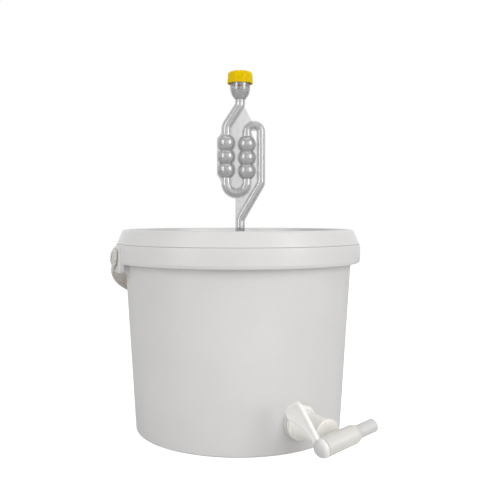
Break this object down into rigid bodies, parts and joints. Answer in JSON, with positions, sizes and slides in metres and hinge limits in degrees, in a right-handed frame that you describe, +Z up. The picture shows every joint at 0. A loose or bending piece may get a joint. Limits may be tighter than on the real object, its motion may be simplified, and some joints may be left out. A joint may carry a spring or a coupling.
{
  "type": "fermentation bucket",
  "caption": "White round plastic bucket with a snap lid, a clear bubbling airlock with a yellow cap, a bail handle and a lever tap near its base",
  "frame": {"origin": "centre of the bucket's flat base, on the surface that it stands on", "axes": "+Z up along the bucket's axis; -Y is the front, the side facing the camera; the airlock is flat in the XZ plane, and the tap is on the front towards +X"},
  "size_m": [0.23, 0.2562, 0.3295],
  "materials": {
    "bucket": "satin white moulded polypropylene",
    "lid": "satin white moulded polypropylene",
    "lid_gasket": "pale soft seal",
    "airlock_grommet": "black rubber",
    "airlock_body": "clear glossy plastic",
    "airlock_cap": "yellow soft plastic",
    "handle": "white moulded plastic",
    "tap_body": "creamy white satin plastic",
    "tap_lever": "white satin plastic",
    "tap_outer_washer": "grey flat washer",
    "tap_inner_washer": "grey flat washer",
    "tap_locknut": "white moulded plastic"
  },
  "bodies": {
    "bucket": {"bucket": "bucket", "tap_body": "tap_body", "tap_outer_washer": "tap_outer_washer", "tap_inner_washer": "tap_inner_washer", "tap_locknut": "tap_locknut"},
    "lid": {"lid": "lid", "lid_gasket": "lid_gasket", "airlock_grommet": "airlock_grommet"},
    "airlock": {"airlock_body": "airlock_body"},
    "airlock_cap": {"airlock_cap": "airlock_cap"},
    "handle": {"handle": "handle"},
    "tap_lever": {"tap_lever": "tap_lever"}
  },
  "joints": [
    {"name": "lid_lift", "type": "slide", "parent": "bucket", "child": "lid", "axis": [0, 0, 1], "range_m": [0, 0.014]},
    {"name": "airlock_lift", "type": "slide", "parent": "lid", "child": "airlock", "axis": [0, 0, 1], "range_m": [0, 0.035]},
    {"name": "cap_lift", "type": "slide", "parent": "airlock", "child": "airlock_cap", "axis": [0, 0, 1], "range_m": [0, 0.025]},
    {"name": "handle_swing", "type": "hinge", "parent": "bucket", "child": "handle", "pos_m": [0, 0, 0.1603], "axis": [0.9397, 0.342, 0], "range_deg": [0, 105]},
    {"name": "tap_turn", "type": "hinge", "parent": "bucket", "child": "tap_lever", "pos_m": [0.07806, -0.12738, 0.02575], "axis": [0.8383, 0.5114, 0.1891], "range_deg": [0, 90]}
  ]
}
